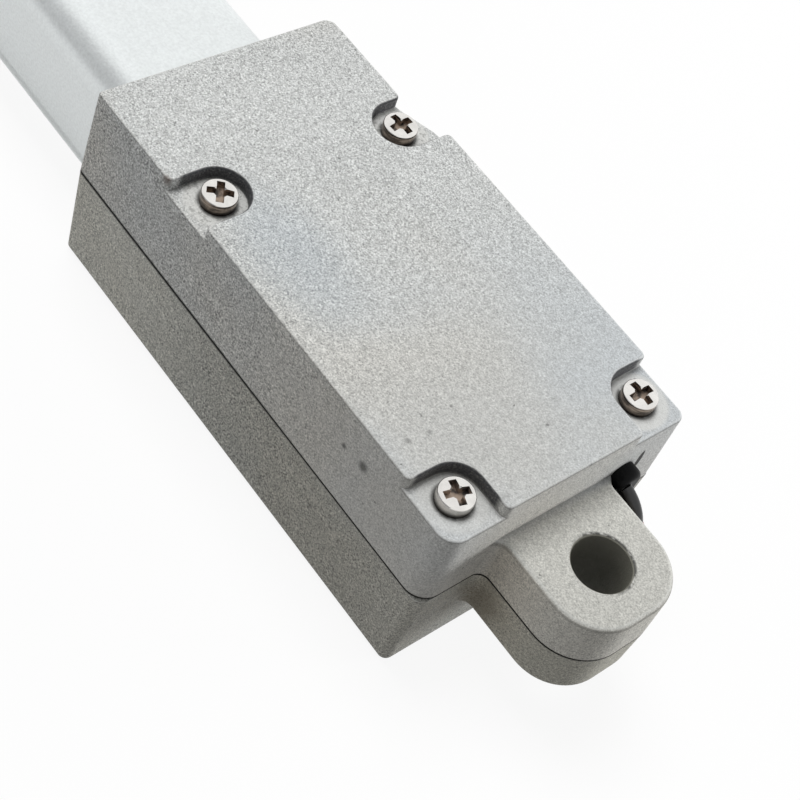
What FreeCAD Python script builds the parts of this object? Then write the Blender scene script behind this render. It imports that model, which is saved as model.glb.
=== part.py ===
import FreeCAD, Part
import math
import os

# Micro linear actuator. A two-part zinc die-cast housing with a rear eye holds a small brushed
# motor and a spur gearhead; a lead screw then pushes a rod out of an extruded aluminium tube.
# Millimetres. The origin is the centre of the rear eye, on the plane where the two housing
# halves meet. +X runs along the screw towards the rod's eye, +Z goes up out of the cover.
# The works are drawn about the screw's own axis, and then moved to where it lies in the housing.

V = FreeCAD.Vector
os.makedirs("parts", exist_ok=True)

# Travel
stroke = 30.0
length_less_stroke = 105.0  # eye to eye with the rod in, less the stroke

# Where the screw's axis lies from the rear eye
works_aside = 0.3
works_drop = 0.3

# Rear eye lug, half of it in each casting
eye_bore = 4.0
eye_chamfer = 0.1
lug_width = 9.35
lug_thickness = 7.3
lug_reach = 4.4  # eye centre to the housing's end face
lug_tip_reach = 4.2
lug_tip_r = 3.7
lug_root_r = 0.8
lug_edge_r = 0.35

# Castings
end_wall = 2.0
side_wall = 1.6
floor_wall = 1.5
roof_wall = 1.5
left_space = 2.9  # beside the motor, for wiring
right_space = 4.35
wire_space = 2.3  # behind the motor
wall_step = 1.15  # the far part of the right wall stands further in
step_run = 3.0
step_corner_r = 2.0
cover_corners_r = (1.5, 0.9)  # near left, near right
base_corners_r = (0.8, 0.8)
far_corner_r = 1.0
left_far_corner_r = 0.5
draft_deg = 1.5
panel_edge_r = 0.2
base_edge_r = 0.5
joint_gap = 0.14  # open line round the joint of the two castings
joint_gap_depth = 0.5
cavity_corner_r = 0.8
rib_thickness = 1.2
rib_finger = 1.2
rib_clear_of_joint = 1.0

# Cover screws and the recesses that their heads sit in
recess_depth = 1.0
recess_r = 1.95
recess_mouth_r = 0.45
recess_pad = 0.8
near_screw_from_end = 2.65
near_screw_from_wall = 2.4
far_screw_from_wall = 2.72
right_screw_inset = 0.15  # the right screws stand this much further in
far_screw_from_face = 10.3
screw_dia = 1.5
screw_head_dia = 2.4
screw_head_height = 1.0
screw_head_dome = 0.15
screw_head_edge_r = 0.12
screw_grip = 4.5  # thread in the base
screw_hole_clear = 0.1
cross_width = 0.52
cross_length = 1.75
cross_depth = 0.6
cross_heart_dia = 1.0  # the tapered middle of the recess
cross_turns_deg = (-16.0, 0.0, 52.0, 5.0)
boss_dia = 3.0

# Lead outlet, a slot in the cover's end wall beside the lug
slot_width = 2.1
slot_height = 4.25
slot_from_lug = 0.175
slot_corner_r = 1.0
grommet_stand_out = 1.0
grommet_edge_r = 0.45
lead_dia = 1.0
bend_share = 0.45  # of the shorter run beside a bend, taken up by the bend
black_lead_up = 3.1
red_lead_up = 1.6
black_lead_from_slot_edge = 0.65
red_lead_from_slot_edge = 1.1

# Motor
motor_dia = 12.0
motor_flats = 10.0
can_length = 14.0
can_wall = 0.6
cap_thickness = 1.0
cap_spigot = 1.2
motor_fit = 0.05  # between the can and the castings' saddles
motor_bush_dia = 3.4
motor_bush_stand_out = 0.7
shaft_dia = 1.0
magnet_thickness = 1.2
magnet_half_angle_deg = 45.0
air_gap = 0.25
core_length = 6.5
core_poles = 3
core_hub_dia = 3.0
core_slot_width = 1.0
pole_neck = 1.2
winding_overhang = 0.7
winding_clear = 0.05
commutator_dia = 2.6
commutator_length = 2.0
commutator_clear = 0.4
brush_width = 1.0
brush_thickness = 0.5
terminal_up = 3.75
terminal_width = 1.8
terminal_thickness = 0.3
terminal_stand_out = 1.8

# Spur gearhead
rear_plate_thickness = 0.8
front_plate_thickness = 1.0
gear_module = 0.2
pinion_teeth = 10
wheel_teeth = 24
profile_shift = 0.4  # on the pinions, and taken off the wheels
pressure_angle_deg = 20.0
tooth_thinning = 0.03
gear_face = 1.3
gear_gap = 0.2
gear_pin_dia = 1.0
journal_dia = 1.1
running_clear = 0.04
post_dia = 1.4
post_from_flat = 1.1
post_from_axis = 3.6
output_shaft_dia = 3.0
output_flat = 0.5
output_bush_dia = 4.4
gear_room = 0.08  # between the lowest tooth and the castings

# Lead screw, its bearing and the nut
hub_dia = 6.0
hub_length = 3.2
hub_from_plate = 0.4
shaft_in_hub = 2.4
coupling_pin_dia = 1.0
lead_screw_dia = 4.0
screw_to_nut = 0.05
screw_past_nut = 1.0
bearing_dia = 8.0
bearing_width = 3.0
bearing_ring = 0.65
ball_dia = 1.1
ball_count = 7
ball_clear = 0.02
bearing_from_hub = 0.1
seat_lip = 0.7
hub_room = 0.3
clip_dia = 5.6
clip_thickness = 0.4
clip_groove = 0.3
nut_length = 12.0
nut_from_housing = 4.1
nut_clear = 0.1

# Tube, rod and front end
tube_width = 13.2
tube_height = 10.8
tube_corner_r = 2.5
tube_wall = 1.2
tube_seat = 3.0  # length of tube held in the housing
tube_fit = 0.03
tongue_width = 1.0
tongue_height = 4.0
tongue_depth = 1.0
tongue_from_end = 1.0
tongue_fit = 0.05
rod_dia = 6.4
rod_wall = 0.9
rod_in_nut = 5.0
rod_clear = 0.05
rod_end_bore = 4.0
rod_end_width = 8.0
rod_end_thickness = 6.0
rod_end_tip_reach = 4.2
rod_end_tip_r = 3.4
rod_end_root_r = 0.6
rod_end_root = 6.0  # eye centre to the rod's end
rod_end_stem = 8.0
rod_end_edge_r = 0.4
rod_end_pin_dia = 1.5
rod_end_pin_from_root = 2.5
rod_stand_out = 3.0  # rod showing past the front bush with the rod in
bush_flange = 2.0
bush_length = 14.0
bush_fit = 0.04
bush_edge_r = 0.4
seal_section = 1.2
seal_from_front = 1.0
seal_clear = 0.02
bush_screw_dia = 1.6
bush_screw_head_dia = 2.6
bush_screw_length = 2.6
bush_screw_from_front = 5.0

# Limit switch board along the right wall inside the tube
board_thickness = 0.6
board_height = 4.6
board_past_switch = 3.0
board_from_block = 0.3
switch_length = 3.5
switch_height = 3.4
switch_clear_of_rod = 0.1
button_length = 0.9
button_in_body = 0.5
button_height = 1.0
button_from_case = 0.25
button_from_nut = 0.1
button_clear = 0.05
diode_length = 2.0
diode_width = 1.2
diode_pitch = 12.0
nut_clear_of_board = 0.15
board_wire_dia = 0.7
board_wire_pitch = 0.9
board_wire_clear = 0.1
board_wire_down = 4.75
wire_channel_width = 1.3

# Free leads: the routes that they lie along, then a coil each beside the tube, one on the other
black_route = [
    (2.25, -5.5, 3.1),
    (1.15, -5.5, 2.5),
    (0.45, -5.5, 1.5),
    (0.25, -5.5, 0.25),
    (0.25, -5.6, -1.2),
    (0.3, -5.95, -2.6),
    (0.5, -6.65, -3.95),
    (0.95, -7.75, -5.15),
    (1.7, -9.1, -6.15),
    (2.7, -10.55, -6.9),
    (4.2, -11.95, -7.3),
    (6.6, -12.95, -7.4),
    (11.8, -13.15, -7.4),
    (20.5, -12.8, -7.4),
    (31.0, -13.2, -7.4),
    (42.0, -12.6, -7.4),
    (50.5, -11.9, -7.3),
    (59.0, -11.55, -7.1),
    (67.0, -11.5, -6.9),
]
red_route = [
    (2.25, -5.95, 1.6),
    (1.15, -6.2, 1.05),
    (0.45, -6.65, 0.1),
    (0.2, -7.2, -1.05),
    (0.25, -7.85, -2.3),
    (0.6, -8.65, -3.5),
    (1.2, -9.55, -4.5),
    (2.1, -10.55, -5.35),
    (3.4, -11.55, -5.95),
    (5.2, -12.35, -6.25),
    (7.6, -12.8, -6.3),
    (11.6, -12.95, -6.3),
    (20.5, -12.6, -6.3),
    (31.0, -12.95, -6.3),
    (42.0, -12.4, -6.3),
    (50.5, -11.7, -6.0),
    (59.0, -11.55, -5.3),
    (67.0, -11.5, -4.9),
]
coil_mid_dia = 11.0
coil_turns_wide = 3
coil_turns_high = 2

# Places worked out from the sizes above, from the rear eye to the rod's eye
draft = math.tan(math.radians(draft_deg))
gear_centres = gear_module * (pinion_teeth + wheel_teeth) / 2
wheel_tip_r = gear_module * (wheel_teeth / 2 + 1 - profile_shift)
motor_r = motor_dia / 2
motor_half = motor_flats / 2
works_half_height = max(motor_r + 2 * motor_fit, gear_centres + wheel_tip_r + gear_room)
base_hollow = works_half_height + works_drop
cover_hollow = works_half_height - works_drop
base_depth = base_hollow + floor_wall
cover_height = cover_hollow + roof_wall
left_wall_y = works_aside + motor_half + left_space + side_wall
right_wall_y = works_aside - (motor_half + right_space + side_wall)
lug_half = lug_thickness / 2
end_face_x = lug_reach
end_wall_x = end_face_x + end_wall
cap_x = end_wall_x + wire_space
can_x = cap_x + cap_thickness
rear_plate_x = can_x + can_length
magnet_length = core_length + 2 * (winding_overhang + winding_clear)
gears_x = rear_plate_x + rear_plate_thickness
layer_pitch = gear_face + gear_gap
front_plate_x = gears_x + 4 * layer_pitch
plate_front_x = front_plate_x + front_plate_thickness
hub_x = plate_front_x + hub_from_plate
bearing_x = hub_x + hub_length + bearing_from_hub
block_x = bearing_x - seat_lip - bearing_from_hub
bearing_front_x = bearing_x + bearing_width
tube_x = bearing_front_x + seat_lip
far_face_x = tube_x + tube_seat
near_screw_x = end_face_x + near_screw_from_end
far_screw_x = far_face_x - far_screw_from_face
screw_places = [
    (near_screw_x, left_wall_y - near_screw_from_wall),
    (near_screw_x, right_wall_y + near_screw_from_wall + right_screw_inset),
    (far_screw_x, left_wall_y - far_screw_from_wall),
    (far_screw_x, right_wall_y + far_screw_from_wall + right_screw_inset),
]
recess_floor = cover_height - recess_depth
slot_y = -(lug_width / 2 + slot_from_lug)
black_lead_y = slot_y - black_lead_from_slot_edge
red_lead_y = slot_y - red_lead_from_slot_edge
lead_exit_x = end_face_x - grommet_stand_out
wire_x = end_wall_x + wire_space / 2
eye_to_eye = length_less_stroke + stroke
rod_front_x = eye_to_eye - rod_end_root
tube_front_x = rod_front_x - rod_stand_out - bush_flange
bush_x = tube_front_x - bush_length
nut_x = far_face_x + nut_from_housing
nut_front_x = nut_x + nut_length
rod_x = nut_front_x - rod_in_nut
screw_end_x = nut_front_x + stroke + screw_past_nut
tube_bore_half_width = tube_width / 2 - tube_wall
tube_bore_half_height = tube_height / 2 - tube_wall
tube_bore_r = tube_corner_r - tube_wall
board_y = -tube_bore_half_width
board_x = tube_x + board_from_block
switch_base_y = board_y + board_thickness
switch_top_y = -(rod_dia / 2 + switch_clear_of_rod)
rear_switch_x = nut_x - button_from_nut - button_length - switch_length
front_switch_x = nut_front_x + stroke + button_from_nut + button_length
board_end_x = front_switch_x + switch_length + board_past_switch
floor_z = -base_depth


def along_x(x):
    """Places a drawing's two coordinates on the plane across the axis at x."""
    return lambda y, z: V(x, y, z)


def at_height(z):
    """Places a drawing's two coordinates on the flat plane at height z."""
    return lambda x, y: V(x, y, z)


def rounded_wire(corners, place):
    """A closed wire through (u, v, radius) corners, with an arc at each corner that has a radius."""
    spots = [place(u, v) for u, v, _ in corners]
    edges = []
    arcs = []
    for i, (_, _, radius) in enumerate(corners):
        back = (spots[i - 1] - spots[i]).normalize()
        ahead = (spots[(i + 1) % len(spots)] - spots[i]).normalize()
        half = back.getAngle(ahead) / 2
        reach = radius / math.tan(half)
        middle = (back + ahead).normalize() * (radius / math.sin(half) - radius)
        arcs.append((spots[i] + back * reach, spots[i] + middle, spots[i] + ahead * reach))
    for i, (start, middle, end) in enumerate(arcs):
        if start.distanceToPoint(end) > 1e-6:
            edges.append(Part.Arc(start, middle, end).toShape())
        following = arcs[(i + 1) % len(arcs)][0]
        if end.distanceToPoint(following) > 1e-6:
            edges.append(Part.LineSegment(end, following).toShape())
    return Part.Wire(Part.__sortEdges__(edges))


def slab(corners, low, high):
    """A flat plan pulled up from low to high."""
    return Part.Face(rounded_wire(corners, at_height(low))).extrude(V(0, 0, high - low))


def bar(corners, start, end):
    """A section across the axis, pulled along it."""
    return Part.Face(rounded_wire(corners, along_x(start))).extrude(V(end - start, 0, 0))


def drafted(outline, start, end):
    """A casting's block between two heights, its walls leaning in with distance from the joint."""
    wires = [rounded_wire(outline(abs(z) * draft), at_height(z)) for z in (start, end)]
    return Part.makeLoft(wires, True, True)


def box(x, y, z):
    """A block between pairs of limits."""
    return Part.makeBox(x[1] - x[0], y[1] - y[0], z[1] - z[0], V(x[0], y[0], z[0]))


def rod_along_x(dia, start, end, y=0.0, z=0.0):
    return Part.makeCylinder(dia / 2, end - start, V(start, y, z), V(1, 0, 0))


def rod_along_z(dia, low, high, x, y):
    return Part.makeCylinder(dia / 2, high - low, V(x, y, low), V(0, 0, 1))


def rod_along_y(dia, start, end, x, z=0.0):
    return Part.makeCylinder(dia / 2, end - start, V(x, start, z), V(0, 1, 0))


def rectangle(half_width, half_height, radius):
    """Corners of a rectangle about the axis."""
    w, h = half_width, half_height
    return [(-w, -h, radius), (w, -h, radius), (w, h, radius), (-w, h, radius)]


def rounded_edges(shape, radius, wanted):
    """Rounds the edges whose middle point is wanted."""
    middles = [(edge, edge.valueAt((edge.FirstParameter + edge.LastParameter) / 2)) for edge in shape.Edges]
    return shape.makeFillet(radius, [edge for edge, middle in middles if wanted(middle)])


def on_height(z):
    return lambda point: abs(point.z - z) < 1e-4


def save(name, shape):
    shape.exportStep("parts/" + name + ".step")


# Castings


def housing_outline(inset, corners_r):
    """Plan of the housing, drawn in all round; the right wall slants in past the far screw."""
    near, far = end_face_x + inset, far_face_x - inset
    left, right = left_wall_y - inset, right_wall_y + inset
    lean = math.tan(math.atan2(wall_step, step_run) / 2)
    step_end = far_screw_x + recess_r - inset * lean
    return [
        (near, left, corners_r[0] - inset),
        (near, right, corners_r[1] - inset),
        (step_end - step_run, right, step_corner_r - inset),
        (step_end, right + wall_step, step_corner_r + inset),
        (far, right + wall_step, far_corner_r - inset),
        (far, left, left_far_corner_r - inset),
    ]


def panel_outline(inset):
    """Plan of the cover's raised panel, cut away round the four screw heads."""
    near, far = end_face_x + inset, far_face_x - inset
    left, right = left_wall_y - inset, right_wall_y + inset
    round_r = recess_r + inset - recess_floor * draft
    near_edge = near_screw_x + round_r
    (_, near_left), (_, near_right), (_, far_left), (_, far_right) = screw_places
    low, high = far_screw_x - round_r, far_screw_x + round_r
    mouth = recess_mouth_r - inset + recess_floor * draft
    return [
        (near, near_right + round_r, mouth),
        (near_edge, near_right + round_r, round_r),
        (near_edge, right, mouth),
        (low, right, mouth),
        (low, far_right + round_r, round_r),
        (high, far_right + round_r, round_r),
        (high, right + wall_step, mouth),
        (far, right + wall_step, far_corner_r - inset),
        (far, left, left_far_corner_r - inset),
        (high, left, mouth),
        (high, far_left - round_r, round_r),
        (low, far_left - round_r, round_r),
        (low, left, mouth),
        (near_edge, left, mouth),
        (near_edge, near_left - round_r, round_r),
        (near, near_left - round_r, mouth),
    ]


def lug_outline(inset):
    """Plan of the lug, flared into the end face, with its root inside the end wall."""
    tip, root = inset - lug_tip_reach, end_face_x + inset
    half = lug_width / 2 - inset
    flare = half + 2 * lug_root_r
    inside = root + end_wall / 2
    return [
        (tip, -half, lug_tip_r - inset),
        (root, -half, lug_root_r + inset),
        (root, -flare, 0.0),
        (inside, -flare, 0.0),
        (inside, flare, 0.0),
        (root, flare, 0.0),
        (root, half, lug_root_r + inset),
        (tip, half, lug_tip_r - inset),
    ]


def cavity_outline(inset):
    """Plan of the hollow for the motor and gearhead, behind the solid block round the bearing."""
    left = left_wall_y - side_wall - inset
    right = right_wall_y + side_wall + inset
    step_x = far_screw_x - boss_dia / 2
    far = block_x - inset
    return [
        (end_wall_x + inset, left, cavity_corner_r),
        (end_wall_x + inset, right, cavity_corner_r),
        (step_x, right, 0.0),
        (step_x, right + wall_step, 0.0),
        (far, right + wall_step, cavity_corner_r),
        (far, left, cavity_corner_r),
    ]


def joint_groove():
    """The thin gap that shows as a dark line where the two castings meet."""
    outside = slab(housing_outline(-joint_gap, cover_corners_r), 0, joint_gap)
    outside = outside.fuse(slab(lug_outline(-joint_gap), 0, joint_gap))
    core = slab(housing_outline(joint_gap_depth, cover_corners_r), 0, joint_gap)
    return outside.cut(core.fuse(slab(lug_outline(joint_gap_depth), 0, joint_gap)))


def in_housing(shapes):
    """Moves what is drawn about the screw's axis to where that axis lies in the housing."""
    return [shape.translated(V(0, works_aside, -works_drop)) for shape in shapes]


def motor_section(grow):
    """The can's section: a round with two flats."""
    half, r = motor_half + grow, motor_r + grow
    top = math.sqrt(r * r - half * half)
    return half, top, r


def motor_bar(grow, start, end):
    """A bar of the motor's section, grown all round."""
    half, top, r = motor_section(grow)
    edges = [
        Part.Arc(V(start, half, top), V(start, 0, r), V(start, -half, top)).toShape(),
        Part.LineSegment(V(start, -half, top), V(start, -half, -top)).toShape(),
        Part.Arc(V(start, -half, -top), V(start, 0, -r), V(start, half, -top)).toShape(),
        Part.LineSegment(V(start, half, -top), V(start, half, top)).toShape(),
    ]
    return Part.Face(Part.Wire(edges)).extrude(V(end - start, 0, 0))


def upright(side, near, far):
    """The pair of heights between two distances from the joint, on one casting's side of it."""
    return sorted((side * near, side * far))


def saddles(side):
    """Ribs that take the motor between fingers, and stops that hold it and the gearhead endways."""
    reach = works_half_height + min(floor_wall, roof_wall) / 2
    fingers = motor_half + motor_fit + rib_finger
    rib_z = upright(side, rib_clear_of_joint, reach)
    ribs = []
    for x in (can_x + 2 * rib_thickness, rear_plate_x - 3 * rib_thickness):
        rib = box((x, x + rib_thickness), (-fingers, fingers), rib_z)
        ribs.append(rib.cut(motor_bar(motor_fit, can_x, rear_plate_x)))
    stop_z = upright(side, motor_section(0)[1] + motor_r / 4, reach)
    rear_half, front_half = motor_r / 3, motor_half / 2
    rear_stop = box((end_wall_x - end_wall / 2, cap_x), (-rear_half, rear_half), stop_z)
    front_x = (plate_front_x, plate_front_x + rib_thickness)
    return ribs + [rear_stop, box(front_x, (-front_half, front_half), stop_z)]


def bearing_bores():
    """What is bored out of the solid block at the front: bearing seat, hub and clip room, tube socket."""
    hub_bore = rod_along_x(hub_dia + 2 * hub_room, block_x - seat_lip, bearing_x)
    seat = rod_along_x(bearing_dia, bearing_x, bearing_front_x)
    lip = rod_along_x(clip_dia + 2 * hub_room, bearing_front_x, tube_x)
    grown = rectangle(tube_width / 2 + tube_fit, tube_height / 2 + tube_fit, tube_corner_r + tube_fit)
    socket = bar(grown, tube_x, far_face_x + tube_seat)
    return [hub_bore, seat, lip, socket]


def tongues(fit):
    """Keys on the socket's two sides that lock into slots in the tube's walls."""
    x = (tube_x + tongue_from_end - fit, tube_x + tongue_from_end + tongue_width + fit)
    z = (-tongue_height / 2 - fit, tongue_height / 2 + fit)
    out = tube_width / 2 + side_wall
    inner = tube_width / 2 - tongue_depth - fit
    return [box(x, (inner, out), z), box(x, (-out, -inner), z)]


def casting(side, depth, hollow_depth, corners_r, edge_r, recessed):
    """Half of the housing: drafted block and lug, hollowed, with bosses, saddles and bores."""
    top = side * (recess_floor if recessed else depth)
    block = drafted(lambda inset: housing_outline(inset, corners_r), 0, top)
    shell = rounded_edges(block, edge_r, on_height(top))
    if recessed:
        panel = drafted(panel_outline, top - recess_depth, side * depth)
        shell = shell.fuse(rounded_edges(panel, edge_r, on_height(side * depth)))
    lug = rounded_edges(drafted(lug_outline, 0, side * lug_half), lug_edge_r, lambda p: lug_rim(p, side))
    shell = shell.fuse(lug).removeSplitter()
    solid_block = shell.copy()
    shell = shell.cut(drafted(cavity_outline, 0, side * hollow_depth))
    boss_z = upright(side, 0, (hollow_depth + depth) / 2)
    added = [rod_along_z(boss_dia, *boss_z, x, y).common(solid_block) for x, y in screw_places]
    added += in_housing(saddles(side))
    if recessed:
        added += [pad.common(solid_block) for pad in recess_pads()]
    shell = shell.fuse(added).cut(in_housing(bearing_bores()))
    shell = shell.fuse([tongue.common(solid_block) for tongue in in_housing(tongues(0))])
    return shell.cut(eye_cutter(side)).removeSplitter()


def lug_rim(point, side):
    """Is this point on the lug's outer rim, clear of the end face?"""
    return abs(point.z - side * lug_half) < 1e-4 and point.x < end_face_x - lug_root_r / 2


def recess_pads():
    """Thickening under the roof where the recesses take most of it away."""
    spread = recess_r + recess_pad
    z = (recess_floor - roof_wall, recess_floor)
    pads = []
    for x, y in screw_places:
        outward = math.copysign(left_wall_y - right_wall_y, y)
        y_limits = sorted((y - math.copysign(spread, y), y + outward))
        near = end_face_x if x == near_screw_x else x - spread
        pads.append(box((near, x + spread), y_limits, z))
    return pads


def eye_cutter(side):
    """The eye's bore through one half of the lug, with a small chamfer at its outer rim."""
    z = upright(side, 0, lug_half)
    bore = rod_along_z(eye_bore, z[0], z[1], 0, 0)
    wide, narrow = eye_bore / 2 + eye_chamfer, eye_bore / 2
    rim = Part.makeCone(wide, narrow, eye_chamfer, V(0, 0, side * lug_half), V(0, 0, -side))
    return bore.fuse(rim)


def outlet_slot():
    """Section of the leads' slot through the end wall, shared with its grommet."""
    far = slot_y - slot_width
    return [
        (far, 0.0, 0.0),
        (slot_y, 0.0, 0.0),
        (slot_y, slot_height, slot_corner_r),
        (far, slot_height, slot_corner_r),
    ]


def base_shell():
    shell = casting(-1, base_depth, base_hollow, base_corners_r, base_edge_r, False)
    holes = [rod_along_z(screw_dia, -screw_grip, 0, x, y) for x, y in screw_places]
    return shell.cut(holes + in_housing([wire_channel()]))


def board_wire_ways():
    """How far aside the limit switch wires lie: beside the gearhead, and at the board."""
    return -(motor_half + board_wire_dia / 2 + board_wire_clear), board_y + board_thickness / 2


def wire_channel():
    """A way past the bearing for the limit switch wires, low in the base."""
    half = wire_channel_width / 2
    ways = sorted(board_wire_ways())
    low = -(board_wire_down + board_wire_pitch + board_wire_dia)
    return box((block_x - seat_lip, tube_x), (ways[0] - half, ways[1] + half), (low, works_drop))


def cover_shell():
    shell = casting(1, cover_height, cover_hollow, cover_corners_r, panel_edge_r, True)
    hole = screw_dia + 2 * screw_hole_clear
    holes = [rod_along_z(hole, 0, cover_height, x, y) for x, y in screw_places]
    slot = bar(outlet_slot(), end_face_x - end_wall, end_wall_x + slot_height * draft)
    return shell.cut(holes + [slot, joint_groove()])


def cover_screws():
    """Pan-head cross-recess screws, each left at its own turn."""
    screws = []
    for (x, y), turn in zip(screw_places, cross_turns_deg):
        dome_r = (screw_head_dia**2 / 4 + screw_head_dome**2) / (2 * screw_head_dome)
        head_top = recess_floor + screw_head_height
        head = rod_along_z(screw_head_dia, recess_floor, head_top, x, y)
        head = head.common(Part.makeSphere(dome_r, V(x, y, head_top - dome_r)))
        rim_z = head_top - screw_head_dome
        head = rounded_edges(head, screw_head_edge_r, on_height(rim_z))
        shank = rod_along_z(screw_dia, -screw_grip, recess_floor, x, y)
        screw = head.fuse(shank).removeSplitter()
        heart_z = V(x, y, head_top - cross_depth)
        screw = screw.cut(Part.makeCone(0, cross_heart_dia / 2, cross_depth, heart_z))
        for quarter in (0, 90):
            slot = box(
                (x - cross_length / 2, x + cross_length / 2),
                (y - cross_width / 2, y + cross_width / 2),
                (head_top - cross_depth, head_top),
            )
            slot.rotate(V(x, y, 0), V(0, 0, 1), turn + quarter)
            screw = screw.cut(slot)
        screws.append(screw)
    return Part.makeCompound(screws)


# Leads


def arc_path(points):
    """Straight runs joined by the largest tangent arcs that the runs allow, and the arcs' radii."""
    spots = [V(*p) for p in points]
    edges = []
    radii = []
    start = spots[0]
    for before, corner, after in zip(spots, spots[1:], spots[2:]):
        back = before - corner
        ahead = after - corner
        half = back.getAngle(ahead) / 2
        shorter = min(back.Length, ahead.Length)
        radius = bend_share * shorter * math.tan(half)
        back.normalize()
        ahead.normalize()
        reach = radius / math.tan(half)
        bisector = (back + ahead).normalize()
        middle = corner + bisector * (radius / math.sin(half) - radius)
        edges.append(Part.LineSegment(start, corner + back * reach).toShape())
        edges.append(Part.Arc(corner + back * reach, middle, corner + ahead * reach).toShape())
        start = corner + ahead * reach
        radii.append(radius)
    edges.append(Part.LineSegment(start, spots[-1]).toShape())
    return Part.Wire(edges), radii


def wire_along(points, dia):
    """A round wire along a route."""
    path, _ = arc_path(points)
    heading = V(*points[1]) - V(*points[0])
    section = Part.Wire(Part.makeCircle(dia / 2, V(*points[0]), heading))
    return path.makePipeShell([section], True, True)


def lead_grommet():
    """A rubber plug that fills the slot, with the two leads through it."""
    plug = bar(outlet_slot(), lead_exit_x, end_wall_x)
    plug = rounded_edges(plug, grommet_edge_r, lambda p: abs(p.x - lead_exit_x) < 1e-4)
    black = rod_along_x(lead_dia, lead_exit_x, end_wall_x, black_lead_y, black_lead_up)
    red = rod_along_x(lead_dia, lead_exit_x, end_wall_x, red_lead_y, red_lead_up)
    return plug.cut([black, red])


def motor_lead(y, up, terminal_side):
    """A lead from the outlet, turning behind the motor to the edge of its terminal."""
    start = (lead_exit_x, y, up)
    turn = (wire_x, y, up)
    tab = terminal_side * terminal_up - works_drop
    reach = works_aside - terminal_width / 2
    if terminal_side * up > 0:
        points = [start, turn, (wire_x, y / 2, (up + tab) / 2), (wire_x, reach, tab)]
    else:
        low_y = y + lead_dia
        points = [start, turn, (wire_x, low_y, up - 2 * lead_dia), (wire_x, low_y, tab / 2)]
        points += [(wire_x, low_y / 2, tab), (wire_x, reach, tab)]
    return wire_along(points, lead_dia)


def free_lead(route, y, up):
    """The lead outside the housing, from the grommet's face to its coil."""
    points = [(lead_exit_x, y, up)] + route
    lead = wire_along(points, lead_dia)
    path, radii = arc_path(points)
    ideal = math.pi * lead_dia**2 / 4 * path.Length
    print("lead length", round(path.Length, 1), "volume ratio", round(lead.Volume / ideal, 4))
    print("lead radii", [round(r, 1) for r in radii])
    return lead


def lead_coil(route, layer):
    """The outer shape of a put-away coil, touched by the end of its lead."""
    end_x, end_y, _ = route[-1]
    wide = coil_turns_wide * lead_dia
    high = coil_turns_high * lead_dia
    outer = coil_mid_dia / 2 + wide / 2
    low = floor_z + layer * high
    centre_y = end_y - lead_dia / 2 - outer
    ring = Part.makeCylinder(outer, high, V(end_x, centre_y, low))
    return ring.cut(Part.makeCylinder(outer - wide, high, V(end_x, centre_y, low)))


# Motor


def motor_can():
    """Drawn steel can, closed at the front but for its bush."""
    inside = motor_bar(-can_wall, can_x, rear_plate_x - can_wall)
    bush = rod_along_x(motor_bush_dia, rear_plate_x - can_wall, rear_plate_x)
    return motor_bar(0, can_x, rear_plate_x).cut([inside, bush])


def terminal_bars():
    """The two tabs that pass through the end cap."""
    half = terminal_width / 2
    thick = terminal_thickness / 2
    x = (cap_x - terminal_stand_out, can_x)
    sides = [side * terminal_up for side in (1, -1)]
    return [box(x, (-half, half), (up - thick, up + thick)) for up in sides]


def motor_end_cap():
    """Moulded cap with a spigot inside the can, a boss for the rear bush and slots for the tabs."""
    cap = motor_bar(0, cap_x, can_x)
    spigot_x = (can_x, can_x + cap_spigot)
    spigot = motor_bar(-can_wall, *spigot_x).cut(motor_bar(-2 * can_wall, *spigot_x))
    bush = rod_along_x(motor_bush_dia, cap_x, can_x)
    return cap.fuse(spigot).cut([bush] + terminal_bars()).removeSplitter()


def motor_bushes():
    """Bronze bushes at both ends of the rotor's shaft."""
    hole = shaft_dia + 2 * running_clear
    bushes = []
    for start, end in ((cap_x - motor_bush_stand_out, can_x), (rear_plate_x - can_wall, rear_plate_x)):
        bushes.append(rod_along_x(motor_bush_dia, start, end).cut(rod_along_x(hole, start, end)))
    return Part.makeCompound(bushes)


def core_x():
    """Start of the rotor's core: in the middle of the magnets."""
    return rear_plate_x - can_wall - magnet_length + (magnet_length - core_length) / 2


def motor_magnets():
    """Two arc magnets against the can's round walls."""
    outer = motor_r - can_wall
    start = rear_plate_x - can_wall - magnet_length
    ring = rod_along_x(2 * outer, start, start + magnet_length)
    ring = ring.cut(rod_along_x(2 * (outer - magnet_thickness), start, start + magnet_length))
    spread = outer * math.tan(math.radians(magnet_half_angle_deg))
    arcs = []
    for side in (1, -1):
        middle = side * outer
        corners = [(0, 0, 0), (spread, middle, 0), (0, 2 * middle, 0), (-spread, middle, 0)]
        arcs.append(ring.common(bar(corners, start, start + magnet_length)))
    return Part.makeCompound(arcs)


def rotor_r():
    return motor_r - can_wall - magnet_thickness - air_gap


def around_axis(shape, count):
    """Copies of a shape turned evenly about the axis."""
    copies = []
    for i in range(count):
        copy = shape.copy()
        copy.rotate(V(0, 0, 0), V(1, 0, 0), 360.0 * i / count)
        copies.append(copy)
    return copies


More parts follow.
